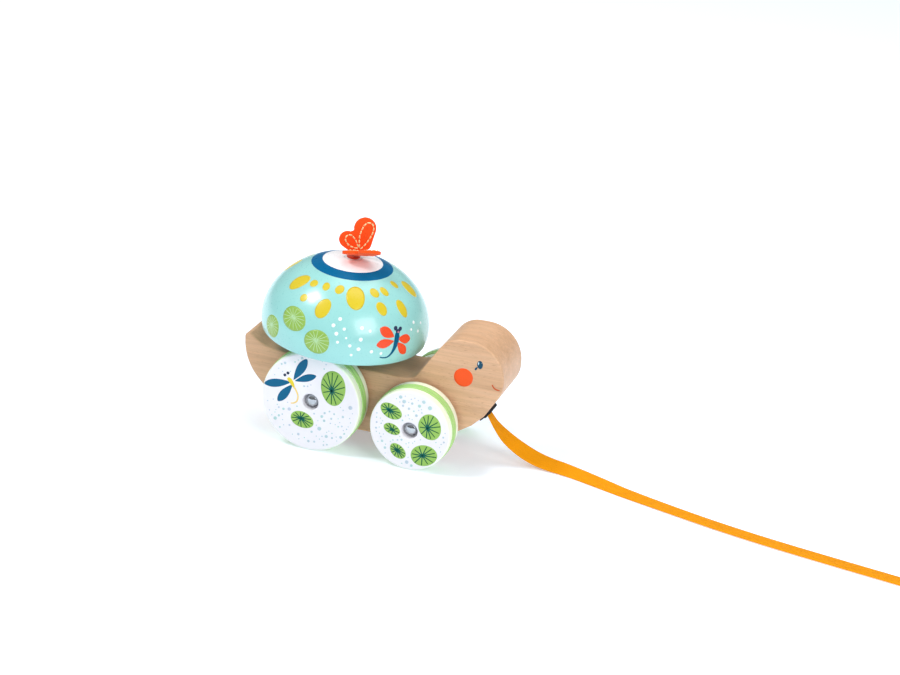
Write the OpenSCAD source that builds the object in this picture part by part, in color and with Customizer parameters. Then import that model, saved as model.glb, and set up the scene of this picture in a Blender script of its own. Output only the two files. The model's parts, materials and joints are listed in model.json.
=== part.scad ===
// Wooden pull-along turtle on four wheels: a beech board with a head and a tail, a painted dome
// that turns on a leaning screw, a felt butterfly on top of it, and a flat webbing pull strap.
// Frame: +X towards the head, +Z up, origin on the floor under the middle of the board.

/* [Board] */
// Thickness of the beech board
board_t = 38; // [36:0.5:38]
// Half the length from the tail to the forehead
board_half_l = 80.8; // [79:0.2:82]
// Height of the belly above the floor
belly_z = 10; // [8:0.5:12]
// Height of the top of the head
head_z = 78.8; // [77:0.2:81]
// Height of the deck where it meets the neck
deck_z = 48.5; // [47.5:0.1:49.5]

/* [Wheels] */
// Radius of a rear wheel over its rubber ring
rear_r = 31; // [30:0.25:31]
// Radius of a front wheel over its rubber ring
front_r = 25; // [24:0.25:26]
// Place of the rear axle along X
rear_x = -30; // [-32:0.5:-28]
// Place of the front axle along X
front_x = 32; // [31:0.5:34]
// Thickness of a wheel
wheel_t = 17; // [16:0.25:18]
// Distance from the mid plane to a wheel's inner face
wheel_in_y = 21.5; // [21.5:0.1:23]
// Radius of a steel axle
axle_r = 2.5; // [2:0.1:3]
// Radial running clearance of a wheel on its axle
axle_gap = 0.08; // [0.04:0.01:0.1]

/* [Shell] */
// Largest radius of the dome
shell_r = 50; // [48:0.2:50]
// Height of the dome
shell_h = 48.5; // [46:0.5:50]
// Place of the dome's base along X
shell_x = -25; // [-26:0.5:-24]
// Height of the dome's base on its axis
shell_z = 62.4; // [62.4:0.1:64]
// Forward lean of the dome's axis, degrees
shell_lean = 4; // [3:0.25:5]

/* [Strap] */
// Width of the webbing
strap_w = 10; // [9:0.5:10]
// Thickness of the webbing
strap_t = 1; // [0.8:0.1:1.2]

/* [Hidden] */

RIGHT = -1; // the -Y side
LEFT = 1; // the +Y side
wood = [0.86, 0.68, 0.48];
steel = [0.72, 0.73, 0.75];
leaf_green = [0.66, 0.82, 0.52];
felt_red = [0.93, 0.26, 0.09];
webbing = [0.97, 0.6, 0.05];
seam = 0.05; // air left between parts that are pushed together

// wheel details
ring_w = 6.2; // width of the rubber ring in a wheel's tread
ring_depth = 1; // depth of the groove that holds it
ring_proud = 0.4; // how far the ring stands out of the wood
ring_line = 0.35; // half width and depth of the line round the middle of the ring
wheel_edge = 1.2; // rounding of a wheel's edges
hub_r = 5; // radius of the recess in a wheel's outer face
hub_depth = 5;
cap_r = 4.3;
cap_h = 3.4;
cap_bore = 2.6; // depth of the hole that takes the axle's end
cap_gap = 0.3; // play between a cap and the floor of its recess
cap_y = wheel_in_y + wheel_t - hub_depth + cap_gap;
washer_r = 7;
washer_gap = 0.3; // play between a washer and its wheel

// shell details, measured along the dome's own axis from its base
bulge_h = 7.5; // height of the dome's widest ring
base_in = 1.6; // how much narrower the dome is at its base
base_edge = 1.6; // rounding of the dome's lower edge
pivot_r = 2;
pivot_gap = 0.08;
pivot_low = -24; // tip of the screw, in the board
seat_low = -12.8; // floor of the round seat cut into the deck
pedestal_r = 14;
slip_t = 1; // thickness of the slippery washer under the dome
play = 0.2; // axial play of the dome
recess_r = 5;
recess_floor = 40;
head_r = 4.2;
head_h = 2.6;
plug_low = 44.2;

// butterfly details, in the dome's axis frame
fold_w = 51; // height of the fold line between the two wing pairs
fold_turn = 28; // turn of the fold line from +X about the dome's axis, degrees
fold_shift = 2.2; // shift of the wings along their fold, past the pin
felt_t = 2;
far_lift = 84; // angle of the far wings above the horizon, degrees
near_lift = 26;
near_shift = 1.2; // how much further along the fold the near wings are sewn on
fold_y = 1.6; // distance of each wing pair's fold from the dome's axis
pin_r = 0.6;
knot_r = 4.2;
knot_h = 0.9; // height of the knot that lifts the wings off the dome

// chin details, in a frame with +Z out of the chin's flat facet
chin_x = 66.85;
chin_z = 29.95;
bar_w = 8.4;
bar_l = 16;
bar_t = 2;
bar_corner = 1.5;
slot_w = 1.8; // slot that the webbing comes out through
slot_l = 7.6;
screw_y = 6; // distance of the bar's screws from the mid plane
screw_r = 0.8;
screw_l = 6.5;
notch_w = 4.2; // pocket in the board behind the bar, for the webbing's folded end
notch_l = 8;
notch_depth = 3.4;
loop_out = 3.5; // how far in front of the facet the strap begins

// Corners of the board's side view, [x, z, rounding radius], round from the tail's tip
board_corners = [[-board_half_l, 61, 2.5], [-board_half_l, 40, 34], [-49.5, belly_z, 15],
    [38, belly_z, 18], [63.4, 26.5, 3], [70.4, 33.5, 5], [board_half_l, 50.5, 18],
    [board_half_l, head_z, 21.5], [46, head_z, 16], [25.6, deck_z, 9], [-66, deck_z + 2.8, 25]];

// Points of the strap's middle line where it isn't coiled, x, y, z
strap_z = 0.05 + strap_t / 2;
edge_z = strap_z + 0.3; // the same where one edge of the webbing is just off the floor
route = [[69.3, 0, 27.5], [72.2, 0, 23.4], [75.2, 0, 20], [78.3, 0, 17], [81.5, 0, 14.4],
    [85.5, 0, 11.7], [89.8, 0, 9.3], [94.6, 0, 7], [100.4, 0, 4.9],
    [108, -0.1, 3.2], [116, -0.8, 2.4], [126, -3.2, 1.9],
    [140, -7.9, 1.45], [156, -13.5, 0.95], [173, -19.1, edge_z], [190, -24.6, edge_z],
    [208, -30.2, edge_z], [226, -35.2, edge_z], [242, -39.2, edge_z], [258, -42.8, edge_z],
    [276, -46.5, edge_z], [294, -50.1, edge_z], [312, -53.6, edge_z], [330, -57.2, edge_z],
    [348, -60.8, edge_z], [366, -64.4, strap_z + 0.1], [384, -68, strap_z]];
// How far the webbing is rolled about its own line, degrees, by the number of the route's point
strap_roll = [[0, 0], [1, 2], [2, 6], [3, 13], [4, 20], [5, 26], [6, 30], [7, 31], [8, 30],
    [9, 25], [10, 21], [11, 15], [12, 10], [13, 4], [14, 0], [15, -2], [16, -3], [24, -3], [25, -1], [26, 0]];
// Width of the webbing, gathered where it passes through the chin bar, by the same numbers
loop_w = 6.8;
strap_widths = [[0, loop_w], [1, 8], [2, 9.3], [3, strap_w]];
coil_x = 396;
coil_y = -9;
coil_out = 65.5;
coil_in = 42.5;
end_turn = -112; // direction of the sewn end from the coil's centre, degrees
end_l = 22; // length of the sewn end

// ---- helpers ----

function unit(v) = v / norm(v);

// Arc that rounds corner b between a and c to radius r, as a list of points
function corner_arc(a, b, c, r) =
    let (u = unit(a - b), v = unit(c - b), half = acos(u * v) / 2,
        mid = b + unit(u + v) * r / sin(half), p = b + u * r / tan(half) - mid,
        q = b + v * r / tan(half) - mid, from = atan2(p[1], p[0]),
        turn = (atan2(q[1], q[0]) - from + 540) % 360 - 180,
        steps = max(2, ceil(abs(turn) / 5)))
    [for (i = [0:steps]) mid + r * [cos(from + turn * i / steps), sin(from + turn * i / steps)]];

// Outline through corners [x, y, radius], each one rounded
function rounded_outline(corners) =
    let (n = len(corners), xy = [for (c = corners) [c[0], c[1]]])
    [for (i = [0:n - 1]) each corner_arc(xy[(i + n - 1) % n], xy[i], xy[(i + 1) % n], corners[i][2])];

// Smooth curve (Catmull-Rom) through points p, at parameter s counted in points
function curve_at(p, s) =
    let (last = len(p) - 1, i = min(floor(s), last - 1), t = s - i, a = p[max(i - 1, 0)],
        b = p[i], c = p[i + 1], d = p[min(i + 2, last)])
    0.5 * (2 * b + (c - a) * t + (2 * a - 5 * b + 4 * c - d) * t * t
        + (3 * b - a - 3 * c + d) * t * t * t);

// Flat eight-sided ring of the webbing, square to the curve at parameter s
function webbing_ring(p, s) =
    let (near = 0.01, last = len(p) - 1, mid = curve_at(p, s),
        ahead = unit(curve_at(p, min(s + near, last)) - curve_at(p, max(s - near, 0))),
        flat = unit(cross([0, 0, 1], ahead)), roll = lookup(s, strap_roll),
        side = flat * cos(roll) + cross(ahead, flat) * sin(roll), up = cross(ahead, side),
        w = lookup(s, strap_widths) / 2, h = strap_t / 2, e = strap_t / 3)
    [for (k = [[w, h - e], [w - e, h], [e - w, h], [-w, h - e], [-w, e - h], [e - w, -h],
        [w - e, -h], [w, e - h]]) mid + side * k[0] + up * k[1]];

module swept_webbing(p, rings_per_point) {
    n = (len(p) - 1) * rings_per_point;
    sides = 8;
    points = [for (i = [0:n]) each webbing_ring(p, i / rings_per_point)];
    walls = [for (i = [0:n - 1], k = [0:sides - 1])
        [i * sides + k, i * sides + (k + 1) % sides,
            (i + 1) * sides + (k + 1) % sides, (i + 1) * sides + k]];
    ends = [[for (k = [sides - 1:-1:0]) k], [for (k = [0:sides - 1]) n * sides + k]];
    polyhedron(points, concat(walls, ends), convexity = 6);
}

// Places its child with +Z along the wheels' axis, pointing out to the given side
module at_axle(x, z, side) {
    translate([x, 0, z]) rotate([-90 * side, 0, 0]) children();
}

module in_shell_frame() {
    translate([shell_x, 0, shell_z]) rotate([0, shell_lean, 0]) children();
}

module in_chin_frame() {
    translate([chin_x, 0, chin_z]) rotate([0, 135, 0]) children();
}

// ---- board ----

module axle_bore(x, z) {
    translate([x, 0, z]) rotate([90, 0, 0])
        cylinder(h = board_t + 2, r = axle_r + seam, center = true, $fn = 64);
}

module at_chin_screws() {
    in_chin_frame() for (side = [RIGHT, LEFT]) translate([0, side * screw_y, 0]) children();
}

module board() {
    color(wood) difference() {
        rotate([90, 0, 0]) linear_extrude(board_t, center = true)
            polygon(rounded_outline(board_corners));
        axle_bore(rear_x, rear_r);
        axle_bore(front_x, front_r);
        in_shell_frame() translate([0, 0, seat_low])
            cylinder(h = 10, r = pedestal_r + 4 * seam, $fn = 96);
        in_shell_frame() translate([0, 0, pivot_low - 1])
            cylinder(h = 20, r = pivot_r + seam, $fn = 48);
        in_chin_frame() translate([-notch_w / 2, -notch_l / 2, -notch_depth])
            cube([notch_w, notch_l, 10]);
        at_chin_screws() translate([0, 0, -screw_l - 0.5])
            cylinder(h = 12, r = screw_r + seam, $fn = 32);
    }
}

// ---- axles, wheels and what is on them ----

module axle(x, z) {
    color(steel) translate([x, 0, z]) rotate([90, 0, 0])
        cylinder(h = 2 * (cap_y + cap_bore), r = axle_r, center = true, $fn = 64);
}

module rear_axle() { axle(rear_x, rear_r); }
module front_axle() { axle(front_x, front_r); }

// Quarter round from angle a to a + 90 about a centre, for turned profiles
function quarter(mid, r, a) = [for (i = [0:6]) mid + r * [cos(a + 15 * i), sin(a + 15 * i)]];

module wheel(r) {
    rim = r - ring_proud;
    low = (wheel_t - ring_w) / 2;
    e = wheel_edge;
    bore = axle_r + axle_gap;
    groove = [[rim, low], [rim - ring_depth, low], [rim - ring_depth, low + ring_w],
        [rim, low + ring_w]];
    hub = [[hub_r, wheel_t], [hub_r, wheel_t - hub_depth], [bore, wheel_t - hub_depth]];
    color("white") rotate_extrude($fn = 160) polygon(concat([[bore, 0]],
        quarter([rim - e, e], e, -90), groove, quarter([rim - e, wheel_t - e], e, 0), hub));
}

module tread(r) {
    inner = r - ring_proud - ring_depth;
    low = (wheel_t - ring_w) / 2 + seam;
    high = wheel_t - low;
    mid = wheel_t / 2;
    l = ring_line;
    color(leaf_green) rotate_extrude($fn = 160) polygon([[inner, low], [r - l, low], [r, low + l],
        [r, mid - l], [r - l, mid], [r, mid + l], [r, high - l], [r - l, high], [inner, high]]);
}

module cap() {
    shoulder = 1;
    dome = [for (i = [0:10]) [cap_r * cos(9 * i), shoulder + (cap_h - shoulder) * sin(9 * i)]];
    bore = axle_r + 0.02;
    color(steel) rotate_extrude($fn = 64) polygon(concat([[bore, 0], [cap_r, 0]], dome,
        [[0, cap_bore], [bore, cap_bore]]));
}

module washer() {
    t = wheel_in_y - washer_gap - board_t / 2;
    color("ivory") difference() {
        cylinder(h = t, r = washer_r, $fn = 64);
        translate([0, 0, -1]) cylinder(h = t + 2, r = axle_r + seam, $fn = 64);
    }
}

module wheel_at(x, r, side) { at_axle(x, r, side) translate([0, 0, wheel_in_y]) wheel(r); }
module tread_at(x, r, side) { at_axle(x, r, side) translate([0, 0, wheel_in_y]) tread(r); }
module cap_at(x, r, side) { at_axle(x, r, side) translate([0, 0, cap_y]) cap(); }
module washer_at(x, r, side) { at_axle(x, r, side) translate([0, 0, board_t / 2]) washer(); }

// ---- shell and its pivot ----

// Radius of the dome at height w above its base
function dome_r(w) = w < bulge_h ? shell_r - base_in * pow((bulge_h - w) / bulge_h, 2)
    : shell_r * sqrt(max(0, 1 - pow((w - bulge_h) / (shell_h - bulge_h), 2)));
function dome_w(r) = bulge_h + (shell_h - bulge_h) * sqrt(1 - pow(r / shell_r, 2));

module shell() {
    e = base_edge;
    foot = dome_r(e);
    low_edge = [for (i = [0:4]) [foot - e + e * sin(22.5 * i), e - e * cos(22.5 * i)]];
    lower = [for (i = [1:4]) let (w = e + (bulge_h - e) * i / 4) [dome_r(w), w]];
    top_angle = acos(recess_r / shell_r);
    upper = [for (i = [1:24]) let (a = top_angle * i / 24)
        [shell_r * cos(a), bulge_h + (shell_h - bulge_h) * sin(a)]];
    bore = pivot_r + pivot_gap;
    color([0.6, 0.87, 0.84]) in_shell_frame() rotate_extrude($fn = 180) polygon(concat([[bore, 0]],
        low_edge, lower, upper, [[recess_r, recess_floor], [bore, recess_floor]]));
}

module turned_washer(low, high, r) {
    difference() {
        translate([0, 0, low]) cylinder(h = high - low, r = r, $fn = 96);
        translate([0, 0, low - 1]) cylinder(h = high - low + 2, r = pivot_r + seam, $fn = 48);
    }
}

module pedestal() {
    color(wood) in_shell_frame() turned_washer(seat_low, -play - slip_t, pedestal_r);
}

module bearing_washer() {
    color("ivory") in_shell_frame() turned_washer(-play - slip_t, -play, pedestal_r - 2);
}

module screw_washer() {
    color(steel) in_shell_frame()
        turned_washer(recess_floor + play, recess_floor + slip_t, head_r + 0.4);
}

module pivot_screw() {
    top = recess_floor + slip_t;
    color(steel) in_shell_frame() difference() {
        union() {
            translate([0, 0, pivot_low]) cylinder(h = top - pivot_low, r = pivot_r, $fn = 48);
            translate([0, 0, top]) cylinder(h = head_h, r1 = head_r, r2 = head_r - 0.6, $fn = 64);
        }
        translate([-head_r, -0.5, top + 1.4]) cube([2 * head_r, 1, head_h]);
    }
}

module shell_plug() {
    r = recess_r - seam;
    top = [for (i = [0:4]) let (x = r * (1 - i / 4)) [x, dome_w(x)]];
    color("white") in_shell_frame() difference() {
        rotate_extrude($fn = 64) polygon(concat([[0, plug_low], [r, plug_low]], top));
        translate([0, 0, plug_low - 1]) cylinder(h = 8, r = pin_r + seam, $fn = 24);
    }
}

// ---- butterfly ----

// A fore wing and a hind wing that share a fold along X, growing to +Y
module wing_pair() {
    hull() {
        translate([3.2, 14.8]) circle(r = 6.8, $fn = 32);
        translate([4.2, 5.2]) circle(r = 3.8, $fn = 32);
        translate([1.5, 3]) circle(r = 3, $fn = 32);
    }
    hull() {
        translate([-6.6, 7.6]) circle(r = 5.2, $fn = 32);
        translate([-1.8, 2.2]) circle(r = 3.2, $fn = 32);
    }
    hull() {
        translate([-3.2, 10.8]) circle(r = 2.4, $fn = 32);
        translate([0, 4]) circle(r = 3, $fn = 32);
    }
}

module in_fold_frame() {
    in_shell_frame() rotate([0, 0, fold_turn]) translate([fold_shift, 0, fold_w]) children();
}

module butterfly_far_wings() {
    color(felt_red) in_fold_frame() translate([0, fold_y, 0]) rotate([far_lift, 0, 0])
        linear_extrude(felt_t, center = true) wing_pair();
}

module butterfly_near_wings() {
    color(felt_red) in_fold_frame() translate([near_shift, -fold_y, 0])
        mirror([0, 1, 0]) rotate([near_lift, 0, 0])
            linear_extrude(felt_t, center = true) wing_pair();
}

module butterfly_knot() {
    color([0.6, 0.12, 0.05]) in_shell_frame() difference() {
        translate([0, 0, dome_w(0)]) cylinder(h = knot_h, r1 = knot_r, r2 = knot_r - 0.6, $fn = 48);
        translate([0, 0, plug_low]) cylinder(h = 20, r = pin_r + seam, $fn = 24);
    }
}

module butterfly_pin() {
    color(steel) in_shell_frame() translate([0, 0, plug_low])
        cylinder(h = dome_w(0) + knot_h - plug_low, r = pin_r, $fn = 24);
}

// ---- chin bar and strap ----

module chin_bar() {
    color([0.06, 0.06, 0.07]) in_chin_frame() difference() {
        linear_extrude(bar_t) polygon(rounded_outline([for (c = [[-1, -1], [1, -1], [1, 1], [-1, 1]])
            [c[0] * bar_w / 2, c[1] * bar_l / 2, bar_corner]]));
        translate([-slot_w / 2, -slot_l / 2, -1]) cube([slot_w, slot_l, 4]);
        for (side = [RIGHT, LEFT]) translate([0, side * screw_y, -1])
            cylinder(h = 4, r = screw_r + 5 * seam, $fn = 32);
    }
}

module chin_screws() {
    color([0.1, 0.1, 0.1]) at_chin_screws() {
        translate([0, 0, -screw_l]) cylinder(h = screw_l + bar_t, r = screw_r, $fn = 32);
        translate([0, 0, bar_t]) cylinder(h = 0.6, r1 = 1.5, r2 = 1, $fn = 48);
    }
}

// The webbing's end: folded back on itself in the pocket, too thick to pull out through the slot
module strap_loop() {
    h = strap_t / 2;
    color(webbing) in_chin_frame() rotate([90, 0, 0]) linear_extrude(loop_w, center = true)
        polygon(rounded_outline([[-1.85, -2.85, 1.1], [h, -2.85, 1.1], [h, loop_out, 0.1],
            [-h, loop_out, 0.1], [-h, -0.3, 0.1], [-1.85, -0.3, 0.3]]));
}

module strap() { color(webbing) swept_webbing(route, 3); }

module strap_coil() {
    color(webbing) translate([coil_x, coil_y, 0]) rotate_extrude($fn = 120)
        translate([coil_in, 0.05]) square([coil_out - coil_in, strap_t]);
}

// Doubled and sewn end of the webbing, on the coil's last stretch
module strap_end() {
    color(webbing) translate([coil_x, coil_y, 0]) rotate([0, 0, end_turn])
        translate([coil_in + 0.4, -end_l, seam])
            cube([strap_w + 0.4, end_l, 2 * strap_t + 0.1]);
}

board();
rear_axle();
front_axle();
wheel_at(rear_x, rear_r, RIGHT);  // rear_wheel_right
wheel_at(rear_x, rear_r, LEFT);  // rear_wheel_left
wheel_at(front_x, front_r, RIGHT);  // front_wheel_right
wheel_at(front_x, front_r, LEFT);  // front_wheel_left
tread_at(rear_x, rear_r, RIGHT);  // rear_tread_right
tread_at(rear_x, rear_r, LEFT);  // rear_tread_left
tread_at(front_x, front_r, RIGHT);  // front_tread_right
tread_at(front_x, front_r, LEFT);  // front_tread_left
cap_at(rear_x, rear_r, RIGHT);  // rear_cap_right
cap_at(rear_x, rear_r, LEFT);  // rear_cap_left
cap_at(front_x, front_r, RIGHT);  // front_cap_right
cap_at(front_x, front_r, LEFT);  // front_cap_left
washer_at(rear_x, rear_r, RIGHT);  // rear_washer_right
washer_at(rear_x, rear_r, LEFT);  // rear_washer_left
washer_at(front_x, front_r, RIGHT);  // front_washer_right
washer_at(front_x, front_r, LEFT);  // front_washer_left
shell();
pedestal();
bearing_washer();
pivot_screw();
screw_washer();
shell_plug();
butterfly_far_wings();
butterfly_near_wings();
butterfly_knot();
butterfly_pin();
chin_bar();
chin_screws();
strap_loop();
strap();
strap_coil();
strap_end();
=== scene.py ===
"""Looks of the pull-along turtle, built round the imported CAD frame. Metres, +X to the head, +Z up."""
import json
import math
import random

import bmesh
import bpy
import numpy as np
from mathutils import Matrix, Vector, noise


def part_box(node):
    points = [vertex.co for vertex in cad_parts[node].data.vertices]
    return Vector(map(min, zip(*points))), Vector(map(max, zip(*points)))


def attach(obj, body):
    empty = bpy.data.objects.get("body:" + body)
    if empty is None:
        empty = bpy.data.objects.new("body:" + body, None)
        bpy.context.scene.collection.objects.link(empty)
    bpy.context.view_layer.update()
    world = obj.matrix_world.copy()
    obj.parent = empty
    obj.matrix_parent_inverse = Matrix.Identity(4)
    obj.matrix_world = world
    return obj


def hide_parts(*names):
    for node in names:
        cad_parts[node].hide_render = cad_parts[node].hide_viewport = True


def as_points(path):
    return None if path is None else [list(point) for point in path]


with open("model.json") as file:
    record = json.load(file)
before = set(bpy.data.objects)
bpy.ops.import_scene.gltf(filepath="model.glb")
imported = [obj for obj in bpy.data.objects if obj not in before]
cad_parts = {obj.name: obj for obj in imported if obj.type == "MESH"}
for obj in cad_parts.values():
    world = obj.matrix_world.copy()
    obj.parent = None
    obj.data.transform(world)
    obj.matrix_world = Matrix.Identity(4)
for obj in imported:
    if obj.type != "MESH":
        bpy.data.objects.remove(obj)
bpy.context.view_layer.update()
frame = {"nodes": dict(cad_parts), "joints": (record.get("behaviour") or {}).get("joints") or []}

MM = 0.001
SIDES = {"right": -1, "left": 1}
UP = Vector((0, 0, 1))


# ---------------------------------------------------------------- mesh helpers

def link(obj):
    bpy.context.scene.collection.objects.link(obj)
    return obj


def smooth(mesh):
    mesh.polygons.foreach_set("use_smooth", [True] * len(mesh.polygons))


def new_object(name, points, faces):
    mesh = bpy.data.meshes.new(name)
    mesh.from_pydata([tuple(p) for p in points], [], faces)
    mesh.validate()
    mesh.update()
    smooth(mesh)
    return link(bpy.data.objects.new(name, mesh))


def object_from(name, shape):
    mesh = bpy.data.meshes.new(name)
    shape.to_mesh(mesh)
    shape.free()
    return link(bpy.data.objects.new(name, mesh))


def keep_numbers(mesh, name, values):
    """Stores one number for each point, for a material to read."""
    attribute = mesh.attributes.new(name, "FLOAT", "POINT")
    attribute.data.foreach_set("value", np.array(values, np.float32))


def dress(obj, body, material, replaces=()):
    """Gives a piece its body and its material, and hides the CAD nodes it stands for."""
    obj.data.materials.clear()
    obj.data.materials.append(material)
    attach(obj, body)
    if replaces:
        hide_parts(*replaces)
    return obj


def change_mesh(obj, change):
    mesh = bmesh.new()
    mesh.from_mesh(obj.data)
    change(mesh)
    mesh.to_mesh(obj.data)
    mesh.free()


def face_outwards(obj):
    change_mesh(obj, lambda mesh: bmesh.ops.recalc_face_normals(mesh, faces=mesh.faces))


def sharpen(obj, angle):
    """Crisp edges where faces meet at more than an angle in degrees."""
    def crease(mesh):
        for edge in mesh.edges:
            if len(edge.link_faces) == 2:
                edge.smooth = edge.calc_face_angle() < math.radians(angle)
    change_mesh(obj, crease)


def settle(obj):
    """Makes an object's modifiers into its mesh."""
    bpy.context.view_layer.update()
    graph = bpy.context.evaluated_depsgraph_get()
    mesh = bpy.data.meshes.new_from_object(obj.evaluated_get(graph), depsgraph=graph)
    obj.modifiers.clear()
    old = obj.data
    obj.data = mesh
    bpy.data.meshes.remove(old)


def round_edges(obj, width, segments, angle):
    """Rounds the edges sharper than an angle in degrees; width is in mm."""
    bevel = obj.modifiers.new("edge", "BEVEL")
    bevel.width = width * MM
    bevel.segments = segments
    bevel.limit_method = "ANGLE"
    bevel.angle_limit = math.radians(angle)


def curve_at(points, s):
    """Smooth curve (Catmull-Rom) through points, at parameter s counted in points."""
    last = len(points) - 1
    i = min(int(s), last - 1)
    t = s - i
    a, b = points[max(i - 1, 0)], points[i]
    c, d = points[i + 1], points[min(i + 2, last)]
    return 0.5 * (2 * b + (c - a) * t + (2 * a - 5 * b + 4 * c - d) * t * t + (3 * b - a - 3 * c + d) * t ** 3)


def heading(line, i):
    """Direction of a line of points at one of them."""
    return (line[min(i + 1, len(line) - 1)] - line[max(i - 1, 0)]).normalized()


def distances(line):
    """How far along the line each of its points is."""
    runs = [0.0]
    for a, b in zip(line, line[1:]):
        runs.append(runs[-1] + (b - a).length)
    return runs


def arc(cx, cy, r, a0, a1, steps):
    return [(cx + r * math.cos(math.radians(a0 + (a1 - a0) * i / steps)),
             cy + r * math.sin(math.radians(a0 + (a1 - a0) * i / steps))) for i in range(steps + 1)]


def slope(height, at, near=0.02):
    """How fast a height falls at a place."""
    return (height(at - near) - height(at + near)) / (2 * near)


def sleeve(rings, n, loop=False):
    """Faces between rings of n points each; a loop joins the last ring to the first."""
    faces = []
    for i in range(rings if loop else rings - 1):
        low, high = i * n, (i + 1) % rings * n
        faces += [(low + k, low + (k + 1) % n, high + (k + 1) % n, high + k) for k in range(n)]
    return faces


def tunnel(rings, n):
    """A sleeve with a flat face over each end."""
    start, end = range(n - 1, -1, -1), range((rings - 1) * n, rings * n)
    return sleeve(rings, n) + [tuple(start), tuple(end)]


def lathe(name, profile, segments, place, crisp=180):
    """Turned shape: profile is a closed ring of (radius, height), place maps (x, y, z) to the row frame."""
    points, faces, rows = [], [], []
    for r, h in profile:
        spokes = segments if r > 0 else 1
        rows.append(range(len(points), len(points) + spokes))
        for k in range(spokes):
            angle = 2 * math.pi * k / segments
            points.append(place(r * math.cos(angle), r * math.sin(angle), h))
    for low, high in zip(rows, rows[1:] + rows[:1]):
        for k in range(segments):
            n = (k + 1) % segments
            if len(low) > 1 and len(high) > 1:
                faces.append((low[k], low[n], high[n], high[k]))
            elif len(high) > 1:
                faces.append((low[0], high[n], high[k]))
            elif len(low) > 1:
                faces.append((low[k], low[n], high[0]))
    obj = new_object(name, points, faces)
    face_outwards(obj)
    sharpen(obj, crisp)
    return obj


class Pile:
    """Collects small closed shells into one mesh, with one number kept for each point."""

    def __init__(self):
        self.points, self.faces, self.marks = [], [], []

    def add(self, points, faces, marks=None):
        start = len(self.points)
        self.points += [Vector(p) for p in points]
        self.faces += [tuple(start + i for i in f) for f in faces]
        self.marks += marks or [0.0] * len(points)

    def build(self, name, body, look, slot="white_paint", replaces=()):
        obj = new_object(name, self.points, self.faces)
        keep_numbers(obj.data, "mark", self.marks)
        face_outwards(obj)
        return dress(obj, body, look, replaces)


def tube(pile, line, radius, sides, up):
    """A round closed tube along a line in metres, narrowed at its two ends."""
    points = []
    for i, mid in enumerate(line):
        ahead = heading(line, i)
        side = ahead.cross(up).normalized()
        over = side.cross(ahead)
        r = radius * (0.6 if i in (0, len(line) - 1) else 1)
        for k in range(sides):
            a = 2 * math.pi * k / sides
            points.append(mid + side * r * math.cos(a) + over * r * math.sin(a))
    pile.add(points, tunnel(len(line), sides))


# ---------------------------------------------------------------- paint films and strokes

FILM = 0.05 * MM  # how far printed paint stands proud of what it is on
BRUSH = ((-1, 0.3), (-0.5, 1), (0.5, 1), (1, 0.3), (1, -1), (-1, -1))  # section of a painted line


def film(pile, outline, middle, surface, rings=5, mark=None):
    """One painted spot: outline in mm round its middle; surface maps (u, v) to a point and its normal."""
    points, marks = [], []
    n = len(outline)
    layers = [((k + 1) / (rings + 1), 1) for k in range(rings)] + [(1, 0.4), (1, -1)]

    def lay(u, v, proud, share):
        at, normal = surface(u, v)
        points.append(at + normal * FILM * proud)
        marks.append(float(share) if mark is None else mark)

    for share, proud in layers:
        for u, v in outline:
            lay(middle[0] + (u - middle[0]) * share, middle[1] + (v - middle[1]) * share, proud, share)
    top, low = n * len(layers), n * (len(layers) - 1)
    lay(*middle, 1, 0)
    lay(*middle, -3, 0)
    fans = [(top, (k + 1) % n, k) for k in range(n)]
    fans += [(top + 1, low + k, low + (k + 1) % n) for k in range(n)]
    pile.add(points, sleeve(len(layers), n) + fans, marks)


def brush(pile, stations, surface, lift):
    """A painted line through stations, each (middle, side, half width, mark)."""
    points, marks = [], []
    for mid, side, half, mark in stations:
        for share, proud in BRUSH:
            at, normal = surface(*(mid + side * half * share))
            points.append(at + normal * FILM * (proud * lift if proud > 0 else proud))
            marks.append(mark)
    pile.add(points, tunnel(len(stations), len(BRUSH)), marks)


def stroke(pile, route, widths, surface, lift=1.0):
    """A painted line along a route in mm, as wide as widths says from its start to its end."""
    steps = max(6, 4 * (len(route) - 1))
    route = [Vector(p) for p in route]
    line = [curve_at(route, i * (len(route) - 1) / steps) for i in range(steps + 1)]
    stations = []
    for i, mid in enumerate(line):
        ahead = heading(line, i)
        width = float(np.interp(i / steps, np.linspace(0, 1, len(widths)), widths))
        stations.append((mid, Vector((-ahead.y, ahead.x)), width / 2, 1.0))
    brush(pile, stations, surface, lift)


def spot(pile, surface, cx, cy, half_w, half_h, tilt=0.0, wobble=0.0, count=48, seed=0, rings=5, mark=None):
    """A painted oval, turned by tilt degrees, with a slightly uneven edge."""
    c, s = math.cos(math.radians(tilt)), math.sin(math.radians(tilt))
    outline = []
    for k in range(count):
        a = 2 * math.pi * k / count
        grow = 1 + wobble * (math.sin(2 * a + seed) + 0.6 * math.sin(3 * a + 2.1 * seed))
        x, y = half_w * math.cos(a) * grow, half_h * math.sin(a) * grow
        outline.append((cx + x * c - y * s, cy + x * s + y * c))
    film(pile, outline, (cx, cy), surface, rings, mark)


def insect_wings(pile, surface, *wings):
    """Painted wings, each (narrow base, round tip, width)."""
    count = 44
    for base, tip, width in wings:
        b, reach = Vector(base), Vector(tip) - Vector(base)
        side = Vector((-reach.y, reach.x)).normalized()
        outline = []
        for k in range(count):
            a = 2 * math.pi * k / count
            along = 0.5 - 0.5 * math.cos(a)
            half = width / 2 * (math.sin(math.pi * along ** 1.35) ** 0.62 if 0 < along < 1 else 0)
            outline.append(tuple(b + reach * along + side * half * (1 if a < math.pi else -1)))
        film(pile, outline, tuple(b + reach * 0.6), surface)


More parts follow.
